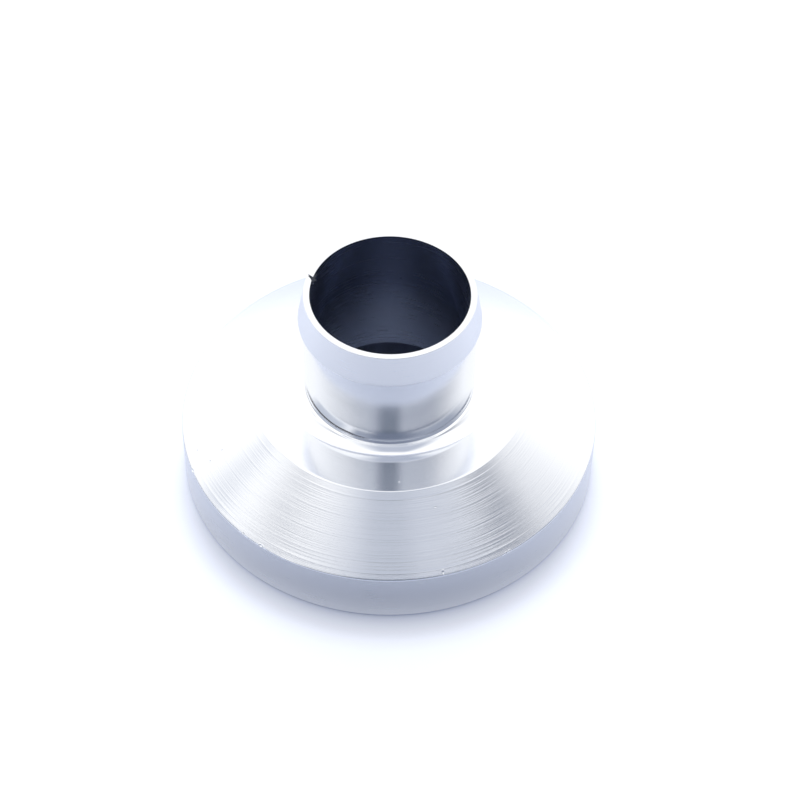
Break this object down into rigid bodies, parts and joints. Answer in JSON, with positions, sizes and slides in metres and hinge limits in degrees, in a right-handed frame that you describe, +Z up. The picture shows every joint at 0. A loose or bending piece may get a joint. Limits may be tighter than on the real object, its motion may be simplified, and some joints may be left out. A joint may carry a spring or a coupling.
{
  "type": "blow-off valve flange",
  "caption": "Turned aluminium flange with a conical top and a beaded hose tail; it clips over the nose of a blow-off valve and carries its air to a hose.",
  "frame": {"origin": "on the turning axis, in the plane of the flat underside", "axes": "+Z up the turning axis, from the underside towards the mouth of the hose tail; X and Y are free, as the part is round"},
  "size_m": [0.063, 0.063, 0.0349],
  "materials": {
    "turned_aluminium": "bright turned aluminium: fine concentric tool rings on the cone, polished tail and flat ring, satin outer wall"
  },
  "bodies": {
    "root": {"flange": "turned_aluminium"}
  },
  "joints": []
}
